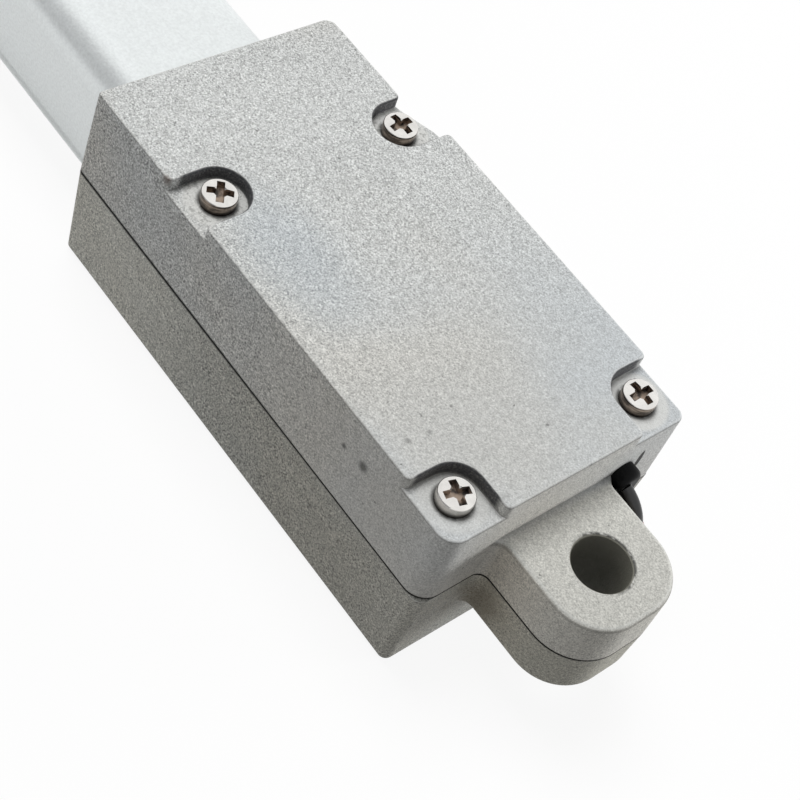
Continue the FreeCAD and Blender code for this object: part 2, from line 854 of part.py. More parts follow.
def rotor_core():
    """Laminated core: a hub with a mushroom-shaped pole for each winding."""
    start, end = core_x(), core_x() + core_length
    shoe_r = rotor_r() - core_slot_width
    shoes = rod_along_x(2 * rotor_r(), start, end).cut(rod_along_x(2 * shoe_r, start, end))
    gap = box((start, end), (-core_slot_width / 2, core_slot_width / 2), (0, 2 * rotor_r()))
    neck = box((start, end), (-pole_neck / 2, pole_neck / 2), (0, shoe_r + core_slot_width / 2))
    neck.rotate(V(0, 0, 0), V(1, 0, 0), 180.0 / core_poles)
    core = shoes.cut(around_axis(gap, core_poles))
    core = core.fuse(around_axis(neck, core_poles) + [rod_along_x(core_hub_dia, start, end)])
    return core.cut(rod_along_x(shaft_dia, start, end)).removeSplitter()


def rotor_windings():
    """Copper coils that fill the core's slots and stand past its ends."""
    start, end = core_x() - winding_overhang, core_x() + core_length + winding_overhang
    outer = 2 * (rotor_r() - core_slot_width)
    fill = rod_along_x(outer, start, end).cut(rod_along_x(core_hub_dia, start, end))
    neck_half = pole_neck / 2
    slots = []
    for i in range(core_poles):
        neck = box((start, end), (-neck_half, neck_half), (0, outer))
        neck.rotate(V(0, 0, 0), V(1, 0, 0), 180.0 / core_poles + 360.0 * i / core_poles)
        slots.append(neck)
    return Part.makeCompound(fill.cut(slots).Solids)


def commutator_x():
    return core_x() - winding_overhang - commutator_clear - commutator_length


def commutator():
    start = commutator_x()
    ring = rod_along_x(commutator_dia, start, start + commutator_length)
    return ring.cut(rod_along_x(shaft_dia, start, start + commutator_length))


def motor_brushes():
    """Leaf brushes that bear on the commutator from above and below, held in the cap."""
    start = commutator_x() + commutator_length / 2
    x = (can_x, start + brush_width / 2)
    leaves = []
    for side in (1, -1):
        near = commutator_dia / 2 + running_clear
        z = upright(side, near, near + brush_thickness)
        leaves.append(box(x, (-brush_width / 2, brush_width / 2), z))
    return Part.makeCompound(leaves)


def rotor_shaft():
    return rod_along_x(shaft_dia, cap_x - motor_bush_stand_out, gears_x + gear_gap / 2 + gear_face)


# Gearhead


def gear_points(teeth, shift):
    """Flank points of a spur gear about the origin: root, base circle and tip of each tooth."""
    pressure = math.radians(pressure_angle_deg)
    pitch_r = gear_module * teeth / 2
    base_r = pitch_r * math.cos(pressure)
    root_r = pitch_r - gear_module * (1.25 - shift)
    tip_r = pitch_r + gear_module * (1 + shift)
    half = math.pi / (2 * teeth) + 2 * shift * math.tan(pressure) / teeth - tooth_thinning / (2 * pitch_r)

    def half_angle(r):
        lean = math.acos(min(1.0, base_r / r))
        return half + (math.tan(pressure) - pressure) - (math.tan(lean) - lean)

    flank = [(root_r, half_angle(base_r)), (base_r, half_angle(base_r)), (tip_r, half_angle(tip_r))]
    points = []
    for i in range(teeth):
        middle = 2 * math.pi * i / teeth
        points += [(r, middle - angle) for r, angle in flank]
        points += [(r, middle + angle) for r, angle in reversed(flank)]
    return points


def toothed(teeth, shift, start, end, z, turn_deg):
    """A toothed disc about an axis at height z, with one tooth's middle at turn_deg from +Y."""
    turn = math.radians(turn_deg)
    corners = []
    for r, angle in gear_points(teeth, shift):
        corners.append(V(start, r * math.cos(angle + turn), z + r * math.sin(angle + turn)))
    return Part.Face(Part.makePolygon(corners + corners[:1])).extrude(V(end - start, 0, 0))


def layer_x(layer):
    return gears_x + gear_gap / 2 + layer * layer_pitch


def pinion_at(layer, z, start):
    """A pinion in one layer, a tooth towards the other axis, drawn back to start."""
    facing = -90.0 if z == 0.0 else 90.0
    return toothed(pinion_teeth, profile_shift, start, layer_x(layer) + gear_face, z, facing)


def wheel_at(layer, z):
    """A wheel in one layer, a gap between teeth towards the other axis."""
    facing = -90.0 if z == 0.0 else 90.0
    x = layer_x(layer)
    return toothed(wheel_teeth, -profile_shift, x, x + gear_face, z, facing + 180.0 / wheel_teeth)


def stepped_gear(layer, z, bore):
    """A wheel with its pinion in the next layer, free on its pin."""
    wheel = wheel_at(layer, z)
    pinion = pinion_at(layer + 1, z, layer_x(layer) + gear_face)
    hole = rod_along_x(bore + 2 * running_clear, layer_x(layer), layer_x(layer + 1) + gear_face, 0, z)
    return wheel.fuse(pinion).cut(hole)


def motor_pinion():
    start = layer_x(0)
    return pinion_at(0, 0.0, start).cut(rod_along_x(shaft_dia, start, start + gear_face))


def output_gear():
    start = layer_x(3)
    return wheel_at(3, 0.0).cut(rod_along_x(output_shaft_dia, start, start + gear_face))


def output_shaft():
    """The gearhead's shaft: a thin journal behind the wheel and a flat at its driving end."""
    end = hub_x + shaft_in_hub
    shaft = rod_along_x(output_shaft_dia, layer_x(3), end)
    journal = rod_along_x(journal_dia, layer_x(1), layer_x(3))
    edge = output_shaft_dia / 2
    flat = box((hub_x, end), (-edge, edge), (edge - output_flat, edge))
    return shaft.fuse(journal).cut(flat).cut(coupling_pin()).removeSplitter()


def plate_holes(start, end):
    """The holes for the gear pin and the posts in a gearhead plate."""
    holes = [rod_along_x(gear_pin_dia, start, end, 0, -gear_centres)]
    return holes + [rod_along_x(post_dia, start, end, y, z) for y, z in post_places()]


def post_places():
    y = motor_half - post_from_flat
    return [(y, post_from_axis), (-y, post_from_axis), (y, -post_from_axis), (-y, -post_from_axis)]


def rear_gear_plate():
    end = rear_plate_x + rear_plate_thickness
    passage = 2 * gear_module * (pinion_teeth / 2 + 1 + profile_shift)
    plate = motor_bar(0, rear_plate_x, end)
    return plate.cut(plate_holes(rear_plate_x, end) + [rod_along_x(passage, rear_plate_x, end)])


def front_gear_plate():
    x = (front_plate_x, plate_front_x)
    return motor_bar(0, *x).cut(plate_holes(*x) + [rod_along_x(output_bush_dia, *x)])


def output_bush():
    hole = output_shaft_dia + 2 * running_clear
    x = (front_plate_x, plate_front_x)
    return rod_along_x(output_bush_dia, *x).cut(rod_along_x(hole, *x))


def gear_posts():
    posts = [rod_along_x(post_dia, rear_plate_x, plate_front_x, y, z) for y, z in post_places()]
    return Part.makeCompound(posts)


def gear_pin():
    return rod_along_x(gear_pin_dia, rear_plate_x, plate_front_x, 0, -gear_centres)


# Lead screw, bearing and nut


def coupling_pin():
    return rod_along_z(coupling_pin_dia, -hub_dia / 2, hub_dia / 2, hub_x + shaft_in_hub / 2, 0)


def screw_clip_x():
    return bearing_front_x + clip_groove / 2


def lead_screw():
    """Screw with a hub for the gearhead's shaft, a journal for the bearing and a groove for its clip."""
    hub = rod_along_x(hub_dia, hub_x, hub_x + hub_length)
    screw = rod_along_x(lead_screw_dia, hub_x + hub_length, screw_end_x)
    edge = output_shaft_dia / 2
    socket = rod_along_x(output_shaft_dia, hub_x, hub_x + shaft_in_hub)
    socket = socket.cut(box((hub_x, hub_x + shaft_in_hub), (-edge, edge), (edge - output_flat, edge)))
    shoulder = rod_along_x(lead_screw_dia + 2 * bearing_ring, hub_x + hub_length, bearing_x)
    screw = hub.fuse([screw, shoulder])
    return screw.cut([socket, coupling_pin(), clip_ring(screw_clip_x())]).removeSplitter()


def clip_ring(start):
    """The clip: a ring let into a groove in the screw."""
    end = start + clip_thickness
    return rod_along_x(clip_dia, start, end).cut(rod_along_x(lead_screw_dia - 2 * clip_groove, start, end))


def ball_circle_dia():
    return (lead_screw_dia + bearing_dia) / 2


def ball_track():
    """The ring-shaped track that the balls roll in, a little larger than a ball."""
    middle = bearing_x + bearing_width / 2
    return Part.makeTorus(ball_circle_dia() / 2, ball_dia / 2 + ball_clear, V(middle, 0, 0), V(1, 0, 0))


def bearing_ring_between(inner, outer):
    x = (bearing_x, bearing_front_x)
    return rod_along_x(outer, *x).cut(rod_along_x(inner, *x)).cut(ball_track())


def bearing_outer_ring():
    return bearing_ring_between(bearing_dia - 2 * bearing_ring, bearing_dia)


def bearing_inner_ring():
    return bearing_ring_between(lead_screw_dia, lead_screw_dia + 2 * bearing_ring)


def bearing_balls():
    middle = bearing_x + bearing_width / 2
    ball = Part.makeSphere(ball_dia / 2, V(middle, 0, ball_circle_dia() / 2))
    return Part.makeCompound(around_axis(ball, ball_count))


def drive_nut():
    """Moulded nut that slides in the tube without turning, with the rod pressed into its front."""
    top = tube_bore_half_height - nut_clear
    left = tube_bore_half_width - nut_clear
    right = switch_base_y + nut_clear_of_board
    r = tube_bore_r
    corners = [(right, -top, r), (left, -top, r), (left, top, r), (right, top, r)]
    bore = rod_along_x(lead_screw_dia + 2 * screw_to_nut, nut_x, nut_front_x)
    return bar(corners, nut_x, nut_front_x).cut([bore, rod_along_x(rod_dia, rod_x, nut_front_x)])


# Tube, rod and front end


def tube_bore(start, end, grow=0.0):
    section = rectangle(tube_bore_half_width + grow, tube_bore_half_height + grow, tube_bore_r + grow)
    return bar(section, start, end)


def outer_tube():
    """Extruded tube with slots for the housing's keys and holes for the front bush's screws."""
    tube = bar(rectangle(tube_width / 2, tube_height / 2, tube_corner_r), tube_x, tube_front_x)
    tube = tube.cut(tube_bore(tube_x, tube_front_x))
    return tube.cut(tongues(tongue_fit) + bush_screw_bodies())


def push_rod():
    """Rod with a bore that takes the lead screw, pinned to the eye at its front."""
    rod = rod_along_x(rod_dia, rod_x, rod_front_x)
    return rod.cut([rod_along_x(rod_dia - 2 * rod_wall, rod_x, rod_front_x), rod_end_pin()])


def rod_end_pin():
    return rod_along_y(rod_end_pin_dia, -rod_dia / 2, rod_dia / 2, rod_front_x - rod_end_pin_from_root)


def rod_end():
    """Front eye: a tongue with a rounded tip, and a stem inside the rod."""
    tip = eye_to_eye + rod_end_tip_reach
    half, thick = rod_end_width / 2, rod_end_thickness / 2
    corners = [
        (rod_front_x, -half, rod_end_root_r),
        (tip, -half, rod_end_tip_r),
        (tip, half, rod_end_tip_r),
        (rod_front_x, half, rod_end_root_r),
    ]
    tongue = slab(corners, -thick, thick)
    tongue = rounded_edges(tongue, rod_end_edge_r, lambda p: abs(abs(p.z) - thick) < 1e-4)
    stem = rod_along_x(rod_dia - 2 * rod_wall, rod_front_x - rod_end_stem, rod_front_x)
    bore = rod_along_z(rod_end_bore, -thick, thick, eye_to_eye, 0)
    return tongue.fuse(stem).cut([bore, rod_end_pin()]).removeSplitter()


def seal_x():
    return tube_front_x + bush_flange - seal_from_front


def seal_ring(grow):
    """The rod seal's ring, or the groove for it."""
    middle_r = rod_dia / 2 + seal_clear + seal_section / 2
    return Part.makeTorus(middle_r, seal_section / 2 + grow, V(seal_x(), 0, 0), V(1, 0, 0))


def rod_seal():
    return seal_ring(0.0)


def front_bush():
    """Moulded guide inside the tube's end, with a flange over it and a groove for the rod's seal."""
    half_width, half_height = tube_width / 2, tube_height / 2
    front = tube_front_x + bush_flange
    flange = bar(rectangle(half_width, half_height, tube_corner_r), tube_front_x, front)
    flange = rounded_edges(flange, bush_edge_r, lambda p: abs(p.x - front) < 1e-4)
    body = tube_bore(bush_x, tube_front_x, -bush_fit)
    hole = rod_along_x(rod_dia + 2 * rod_clear, bush_x, front)
    bush = flange.fuse(body).removeSplitter()
    return bush.cut([hole, seal_ring(seal_clear)] + bush_screw_bodies())


def bush_screw_bodies():
    """The two countersunk side screws, as they lie in the tube's wall and the bush."""
    x = tube_front_x - bush_screw_from_front
    head = (bush_screw_head_dia - bush_screw_dia) / 2
    screws = []
    for side in (1, -1):
        face = V(x, side * tube_width / 2, 0)
        inward = V(0, -side, 0)
        cone = Part.makeCone(bush_screw_head_dia / 2, bush_screw_dia / 2, head, face, inward)
        stem = Part.makeCylinder(bush_screw_dia / 2, bush_screw_length, face, inward)
        screws.append(cone.fuse(stem).removeSplitter())
    return screws


def bush_screws():
    return Part.makeCompound(bush_screw_bodies())


# Limit switches


def limit_board():
    x = (board_x, board_end_x)
    return box(x, (board_y, switch_base_y), (-board_height / 2, board_height / 2))


def button_block(x, clear=0.0):
    """A switch's button, or with a clearance the pocket for it, in the middle of the switch's case."""
    half = button_height / 2 + clear
    y = (switch_base_y + button_from_case - clear, switch_top_y - button_from_case + clear)
    return box(x, y, (-half, half))


def limit_switches():
    """Two small switches that face the nut from both ends of its travel."""
    z = (-switch_height / 2, switch_height / 2)
    switches = []
    for start, face in ((rear_switch_x, rear_switch_x + switch_length), (front_switch_x, front_switch_x)):
        body = box((start, start + switch_length), (switch_base_y, switch_top_y), z)
        deep = 2 * button_in_body
        switches.append(body.cut(button_block((face - deep, face + deep), button_clear)))
    return Part.makeCompound(switches)


def switch_button(face, outward):
    """A button that stands out of its switch towards the nut."""
    return button_block(sorted((face - outward * button_in_body, face + outward * button_length)))


def board_diodes():
    """Two diodes on the board between the switches, under the nut's path."""
    half = diode_width / 2
    y = (switch_base_y, switch_base_y + nut_clear_of_board / 2)
    middle = (rear_switch_x + front_switch_x + switch_length) / 2
    diodes = []
    for x in (middle - diode_pitch / 2, middle + diode_pitch / 2):
        diodes.append(box((x - diode_length / 2, x + diode_length / 2), y, (-half, half)))
    return Part.makeCompound(diodes)


def board_wires():
    """Two thin wires from the motor's lower terminal, along the base, to the limit switch board."""
    side_y = -(motor_half + motor_fit + rib_finger + board_wire_dia)
    pass_y, end_y = board_wire_ways()
    wires = []
    for i in range(2):
        z = -(board_wire_down + i * board_wire_pitch)
        start_y = side_y + 3 * board_wire_dia
        points = [
            (wire_x, -terminal_width / 2 - lead_dia * (i + 3 / 2), z),
            (wire_x, start_y, z),
            (can_x + rib_thickness, side_y, z),
            (rear_plate_x, side_y - board_wire_clear / 4, z),
            (front_plate_x, pass_y, z),
            (block_x, pass_y + board_wire_clear / 4, z),
            (bearing_front_x - seat_lip, end_y + board_wire_clear, z / 2),
            (board_x - board_wire_dia / 2, end_y + board_wire_clear, z / 3),
        ]
        wires.append(wire_along(points, board_wire_dia))
    return Part.makeCompound(wires)


in_the_open = {
    "base_shell": base_shell(),
    "cover_shell": cover_shell(),
    "cover_screws": cover_screws(),
    "lead_grommet": lead_grommet(),
    "motor_lead_black": motor_lead(black_lead_y, black_lead_up, 1),
    "motor_lead_red": motor_lead(red_lead_y, red_lead_up, -1),
    "lead_black": free_lead(black_route, black_lead_y, black_lead_up),
    "lead_red": free_lead(red_route, red_lead_y, red_lead_up),
    "lead_coil_black": lead_coil(black_route, 0),
    "lead_coil_red": lead_coil(red_route, 1),
}
works = {
    "motor_can": motor_can(),
    "motor_end_cap": motor_end_cap(),
    "motor_terminals": Part.makeCompound(terminal_bars()),
    "motor_bushes": motor_bushes(),
    "motor_magnets": motor_magnets(),
    "motor_brushes": motor_brushes(),
    "rotor_shaft": rotor_shaft(),
    "rotor_core": rotor_core(),
    "rotor_windings": rotor_windings(),
    "commutator": commutator(),
    "motor_pinion": motor_pinion(),
    "rear_gear_plate": rear_gear_plate(),
    "front_gear_plate": front_gear_plate(),
    "gear_posts": gear_posts(),
    "gear_pin": gear_pin(),
    "first_gear": stepped_gear(0, -gear_centres, gear_pin_dia),
    "second_gear": stepped_gear(1, 0.0, journal_dia),
    "third_gear": stepped_gear(2, -gear_centres, gear_pin_dia),
    "output_gear": output_gear(),
    "output_shaft": output_shaft(),
    "output_bush": output_bush(),
    "lead_screw": lead_screw(),
    "coupling_pin": coupling_pin(),
    "bearing_outer_ring": bearing_outer_ring(),
    "bearing_inner_ring": bearing_inner_ring(),
    "bearing_balls": bearing_balls(),
    "screw_clip": clip_ring(screw_clip_x()),
    "drive_nut": drive_nut(),
    "outer_tube": outer_tube(),
    "push_rod": push_rod(),
    "rod_end": rod_end(),
    "rod_end_pin": rod_end_pin(),
    "front_bush": front_bush(),
    "rod_seal": rod_seal(),
    "bush_screws": bush_screws(),
    "limit_board": limit_board(),
    "limit_switches": limit_switches(),
    "rear_switch_button": switch_button(rear_switch_x + switch_length, 1),
    "front_switch_button": switch_button(front_switch_x, -1),
    "board_diodes": board_diodes(),
    "board_wires": board_wires(),
}
for name, piece in in_the_open.items():
    save(name, piece)
for name, piece in works.items():
    save(name, in_housing([piece])[0])
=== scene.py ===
import math

import bpy
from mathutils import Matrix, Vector


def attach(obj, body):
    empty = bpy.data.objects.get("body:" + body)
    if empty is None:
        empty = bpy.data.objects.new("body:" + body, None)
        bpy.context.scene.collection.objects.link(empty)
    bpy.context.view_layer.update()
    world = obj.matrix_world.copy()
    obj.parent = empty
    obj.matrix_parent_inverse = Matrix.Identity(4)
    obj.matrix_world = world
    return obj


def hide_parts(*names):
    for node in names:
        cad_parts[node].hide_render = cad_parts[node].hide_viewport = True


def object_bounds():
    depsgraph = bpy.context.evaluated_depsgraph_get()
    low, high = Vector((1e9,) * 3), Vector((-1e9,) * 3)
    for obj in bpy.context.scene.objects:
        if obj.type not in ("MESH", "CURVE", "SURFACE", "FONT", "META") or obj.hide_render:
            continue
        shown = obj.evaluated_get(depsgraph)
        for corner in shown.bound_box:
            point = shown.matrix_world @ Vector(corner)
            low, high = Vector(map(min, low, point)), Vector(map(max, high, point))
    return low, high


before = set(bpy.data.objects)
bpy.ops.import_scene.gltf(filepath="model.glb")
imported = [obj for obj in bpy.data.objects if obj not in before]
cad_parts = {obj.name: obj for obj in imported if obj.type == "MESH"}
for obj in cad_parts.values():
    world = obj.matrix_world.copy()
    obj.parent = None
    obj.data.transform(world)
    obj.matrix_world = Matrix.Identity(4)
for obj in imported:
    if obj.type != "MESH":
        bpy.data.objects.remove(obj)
cad_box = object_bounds()


# Housing, lower half
# The open tray that takes the motor, gearhead and bearing, with the lug of the rear eye on its end.
# Zinc alloy, pressure die cast and shot blasted, so that it is matt and finely speckled all over.

class Field:
    """A value that varies over a surface: one output socket in a finish."""

    def __init__(self, socket):
        self.socket = socket

    def node(self, kind, settings, inputs, output=0):
        """Adds a node to the same finish, sets it up, then gives its sockets their values or links."""
        made = self.socket.id_data.nodes.new("ShaderNode" + kind)
        for name, setting in settings.items():
            setattr(made, name, setting)
        for name, given in inputs.items():
            feed(made.inputs[name], given)
        return Field(made.outputs[output])

    def sum(self, operation, first, second):
        """A Math node, or a Vector Math node where either term is a vector or a colour."""
        terms = [term.socket.type if isinstance(term, Field) else type(term) for term in (first, second)]
        kind = "VectorMath" if any(term in ("VECTOR", "RGBA", tuple) for term in terms) else "Math"
        return self.node(kind, {"operation": operation}, {0: first, 1: second})

    def __add__(self, other):
        return self.sum("ADD", self, other)

    __radd__ = __add__

    def __sub__(self, other):
        return self.sum("SUBTRACT", self, other)

    def __rsub__(self, other):
        return self.sum("SUBTRACT", other, self)

    def __mul__(self, other):
        return self.sum("MULTIPLY", self, other)

    __rmul__ = __mul__

    def part(self, axis):
        """One of a place's three coordinates."""
        return self.node("SeparateXYZ", {}, {"Vector": self}, axis)

    def noise(self, per_metre, detail=2.0):
        """Soft random spots, about so many to the metre, from 0 to 1 round a middle of 0.5."""
        return self.node("TexNoise", {}, {"Vector": self, "Scale": per_metre, "Detail": detail})

    def ramp(self, low, high):
        """0 where the value is at low and 1 where it is at high, eased between them."""
        settings = {"interpolation_type": "SMOOTHSTEP"}
        return self.node("MapRange", settings, {"Value": self, "From Min": low, "From Max": high})

    def mix(self, none, full):
        """A colour between two, by this value."""
        links = {"Factor": self, 6: none, 7: full}
        return self.node("Mix", {"data_type": "RGBA"}, links, 2)

    def bump(self, height_m):
        """The surface's normal when this value, from 0 to 1, raises it by so many metres."""
        return self.node("Bump", {}, {"Strength": 1.0, "Distance": height_m, "Height": self})


def feed(socket, given):
    """Gives a socket a link, a number or a colour."""
    if isinstance(given, Field):
        socket.id_data.links.new(given.socket, socket)
    elif socket.type == "RGBA" and len(given) == 3:
        socket.default_value = (*given, 1.0)
    elif socket.type == "VECTOR" and isinstance(given, (int, float)):
        socket.default_value = (given, given, given)
    else:
        socket.default_value = given


def tint(red, green, blue):
    """A colour as a paint chart gives it, from 0 to 255, in the light units of a shader."""
    shares = [part / 255 for part in (red, green, blue)]
    return tuple(s / 12.92 if s <= 0.04045 else ((s + 0.055) / 1.055) ** 2.4 for s in shares)


def new_finish(name):
    """A material, and the place on the piece, in metres, that its finish is worked out from."""
    material = bpy.data.materials.new(name)
    material.use_nodes = True
    place = Field(material.node_tree.nodes.new("ShaderNodeTexCoord").outputs["Object"])
    return material, place


def set_finish(material, sockets):
    """Gives the shader of a material its values and links, by the names of its sockets."""
    shader = material.node_tree.nodes["Principled BSDF"]
    for name, given in sockets.items():
        feed(shader.inputs[name], given)
    return material


def dress(material, *nodes):
    """Puts a finish on carried-over pieces of the model."""
    for node in nodes:
        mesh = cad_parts[node].data
        mesh.materials.clear()
        mesh.materials.append(material)


def facing(place):
    """Which way the surface faces, before any bump."""
    return place.node("NewGeometry", {}, {}, "Normal")


def near_edge(place, reach):
    """1 on a crisp edge, falling to 0 within so many metres of it."""
    eased = place.node("Bevel", {"samples": 4}, {"Radius": reach})
    turned = place.node("VectorMath", {"operation": "DOT_PRODUCT"}, {0: eased, 1: facing(place)}, "Value")
    return (1 - turned).ramp(0.0, 0.25)


def corner_shading(place, reach):
    """1 deep in a corner, where painted shade goes, and 0 in the open."""
    open_share = place.node("AmbientOcclusion", {"samples": 8}, {"Distance": reach}, "AO")
    return open_share.ramp(0.75, 0.2)


def shaded(place, colour, amount):
    """A colour made lighter or darker from place to place by a share of itself."""
    return place.node("VectorMath", {"operation": "SCALE"}, {0: colour, "Scale": 1 + amount})


def distance(place, spot, across=(1.0, 1.0, 1.0)):
    """How far a place is from a spot, in metres, counting only the directions that across keeps."""
    apart = (place - spot) * across
    return apart.node("VectorMath", {"operation": "LENGTH"}, {0: apart}, "Value")


eye_radius = 0.002
lug_root = 0.0044
joint_gap = 0.00014
edge_reach, corner_reach = 0.00016, 0.0009
flakes_per_metre, blast_per_metre, pits_per_metre, clouds_per_metre = 10500.0, 9500.0, 1900.0, 45.0
blast_depth = 0.000035
joint_dark = tint(22, 21, 19)
bore_shade = tint(122, 121, 112)
dirt_and_shade = tint(62, 61, 58)
corner_shade = tint(46, 46, 48)
bare_and_lit_zinc = tint(222, 222, 218)


def joint_line(place, past=0.0):
    """1 inside the open joint between the two castings, and so far past it on their edges."""
    height = place.part("Z")
    upper, lower = joint_gap + past, -past
    return height.ramp(upper + 0.00003, upper + 0.00001) * height.ramp(lower - 0.00004, lower - 0.00002)


def cast_zinc(name, warm, cool, contrast, smooth_end, far_end_light, stains):
    """Matt castings: blasted speckle, cloudy tone, worn edges with painted highlights and painted shade,
    painted shade in corners and in the bore, and a dark joint.
    """
    material, place = new_finish(name)
    flakes = place.node("TexVoronoi", {}, {"Vector": place, "Scale": flakes_per_metre}, "Color").part("X")
    blast = place.noise(blast_per_metre, 1.0)
    pits = place.noise(pits_per_metre)
    cloud = place.noise(clouds_per_metre)
    along = place.part("X")
    level = facing(place).part("Z")
    upward = level.ramp(0.4, 0.8)
    near_end = along.ramp(0.026, 0.008)
    on_lug = along.ramp(lug_root + 0.0002, lug_root - 0.0006)

    # The blasted skin is cloudy and smoother towards the lug; on the base, painted light makes it paler
    # towards the tube.
    tone = ((cloud.ramp(0.38, 0.62) * 0.6 + near_end * upward * 0.4) * (1 - on_lug)).mix(warm, cool)
    smoothed = near_end * (smooth_end - smooth_end * on_lug) + on_lug * 0.48
    speckle = ((flakes - 0.5) * 0.6 + (blast - 0.5) * 2.0) * (1 - smoothed)
    speckle = speckle * (1.4 - 0.4 * upward) * contrast
    # Painted light, paler towards the tube.
    skin = along.ramp(0.022, 0.036) * far_end_light
    tone = shaded(place, tone, speckle + (pits - 0.5) * 0.3 + (cloud - 0.5) * 0.3 + skin)
    tone = (pits.ramp(0.28, 0.21) * 0.6).mix(tone, dirt_and_shade)

    # Edges are worn: where they face up they are also painted light as a highlight, and below they hold dirt
    # and painted shade. The rounding under a top edge gets a line of painted shade, its shoulder a painted
    # highlight.
    edge = near_edge(place, edge_reach)
    tone = (edge * upward * 0.7).mix(tone, bare_and_lit_zinc)
    tone = (edge * (1 - upward) * blast.ramp(0.3, 0.55) * 0.7).mix(tone, dirt_and_shade)
    under_edge_shade = level.ramp(0.1, 0.25) * level.ramp(0.75, 0.5) * blast.ramp(0.3, 0.5)
    tone = (under_edge_shade * 0.5).mix(tone, dirt_and_shade)
    shoulder_highlight = level.ramp(0.75, 0.88) * level.ramp(0.995, 0.96)
    tone = (shoulder_highlight * 0.3).mix(tone, bare_and_lit_zinc)

    # The lug's sides are warmer and painted lighter, and its top is painted a little darker, as painted light
    # and shade.
    lug_tint_and_light = along.ramp(-0.002, 0.003).mix((1.05, 1.05, 1.03), (1.06, 1.02, 0.96))
    tone = on_lug.mix(tone, upward.mix(tone * lug_tint_and_light, tone * (0.93, 0.945, 0.945)))
    # Corners get painted shade, by how closed in they are.
    corners = corner_shading(place, corner_reach)
    tone = (corners * 0.85).mix(tone, corner_shade)
    for mask, colour in stains(place):
        tone = mask.mix(tone, colour)

    # The eye's rim is chipped, its bore is painted in shade, and the joint is open except at the lug's tip.
    from_eye = distance(place, (0.0, 0.0, 0.0), (1.0, 1.0, 0.0))
    chipped = from_eye.ramp(eye_radius + 0.00032, eye_radius + 0.00012) * pits.ramp(0.38, 0.55)
    chipped = chipped * place.part("Y").ramp(0.0016, -0.0008)
    tone = (chipped * 0.85).mix(tone, joint_dark)
    tone = from_eye.ramp(eye_radius + 0.0001, eye_radius + 0.00003).mix(tone, bore_shade)
    closed_up = along.ramp(-0.001, -0.002) * place.part("Y").ramp(0.003, 0.001)
    tone = (joint_line(place) * corners.ramp(0.2, 0.6) * (1 - closed_up)).mix(tone, joint_dark)
    lips = joint_line(place, 0.00007) * along.ramp(0.008, 0.03) * blast.ramp(0.3, 0.5)
    tone = (lips * 0.75).mix(tone, joint_dark)
    return set_finish(material, {
        "Base Color": tone,
        "Roughness": 0.62 + (pits - 0.5) * 0.3,
        "Specular IOR Level": 0.35,
        "Normal": (blast * 0.6 + pits * 0.4).bump(blast_depth),
    })


handled_spot = (0.0034, 0.0047, -0.0022)


def base_stains(place):
    """Brown handling marks on the lug beside the housing."""
    brown = distance(place, handled_spot).ramp(0.0032, 0.0006)
    brown = brown * place.noise(500.0).ramp(0.3, 0.6)
    return [(brown * 0.5, tint(104, 92, 72))]


base_zinc = cast_zinc("zinc_base", tint(175, 173, 164), tint(167, 169, 166),
                      contrast=1.15, smooth_end=0.3, far_end_light=0.4, stains=base_stains)
dress(base_zinc, "base_shell")


# Motor
# A small brushed motor: drawn steel can, moulded end cap, ferrite magnets, and a three-pole rotor
# wound with enamelled copper that runs in bronze bushes.

def drawn_metal(name, colour, roughness, along=(1.0, 1.0, 1.0), grain=2500.0):
    """Bare metal with fine marks; along stretches them the way that the piece was drawn or turned."""
    material, place = new_finish(name)
    marks = (place * along).noise(grain, 3.0)
    cloud = place.noise(160.0)
    return set_finish(material, {
        "Base Color": shaded(place, colour, (marks - 0.5) * 0.16 + (cloud - 0.5) * 0.1),
        "Roughness": roughness + (marks - 0.5) * 0.2,
        "Metallic": 1.0,
        "Normal": marks.bump(0.000006),
    })


def moulded(name, colour, roughness):
    """Injection-moulded plastic with a fine spark-eroded grain from its mould."""
    material, place = new_finish(name)
    grain = place.noise(6000.0)
    flow = place.noise(120.0)
    return set_finish(material, {
        "Base Color": shaded(place, colour, (grain - 0.5) * 0.2 + (flow - 0.5) * 0.15),
        "Roughness": roughness + (grain - 0.5) * 0.15,
        "Normal": grain.bump(0.000012),
    })


lengthways = (0.05, 1.0, 1.0)
crossways = (1.0, 0.05, 0.05)
dress(drawn_metal("plated_can", tint(196, 196, 192), 0.32, lengthways), "motor_can")
dress(moulded("cap_nylon", tint(38, 38, 40), 0.5), "motor_end_cap")
bronze = drawn_metal("sintered_bronze", tint(176, 132, 84), 0.45)
dress(bronze, "motor_bushes")
dress(moulded("ferrite", tint(58, 56, 55), 0.6), "motor_magnets")
steel = drawn_metal("ground_steel", tint(198, 199, 200), 0.25, crossways)
dress(steel, "rotor_shaft")
dress(drawn_metal("laminations", tint(120, 120, 122), 0.5, crossways, 1600.0), "rotor_core")
dress(drawn_metal("enamelled_copper", tint(172, 86, 44), 0.3, crossways, 1400.0), "rotor_windings")
copper = drawn_metal("bare_copper", tint(196, 120, 84), 0.3, crossways)
dress(copper, "commutator", "motor_brushes")
brass = drawn_metal("cut_brass", tint(206, 170, 96), 0.3, crossways)
dress(brass, "motor_terminals")


# Gearhead
# Four pairs of small spur gears on the motor's own axis and one pin, between two stamped plates held
# apart by posts. Cut from brass, with steel posts, pin and shaft, and a bronze bush.

dress(brass, "motor_pinion", "first_gear", "second_gear", "third_gear", "output_gear")
dress(brass, "rear_gear_plate", "front_gear_plate")
dress(steel, "gear_posts", "gear_pin", "output_shaft")
dress(bronze, "output_bush")


# Lead screw, bearing and nut
# A rolled screw of 2 mm lead, carried by one deep-groove bearing, that drives a moulded nut. The
# nut slides in the tube and can't turn.

screw_axis = (0.0003, -0.0003)
screw_lead, thread_depth = 0.002, 0.0004


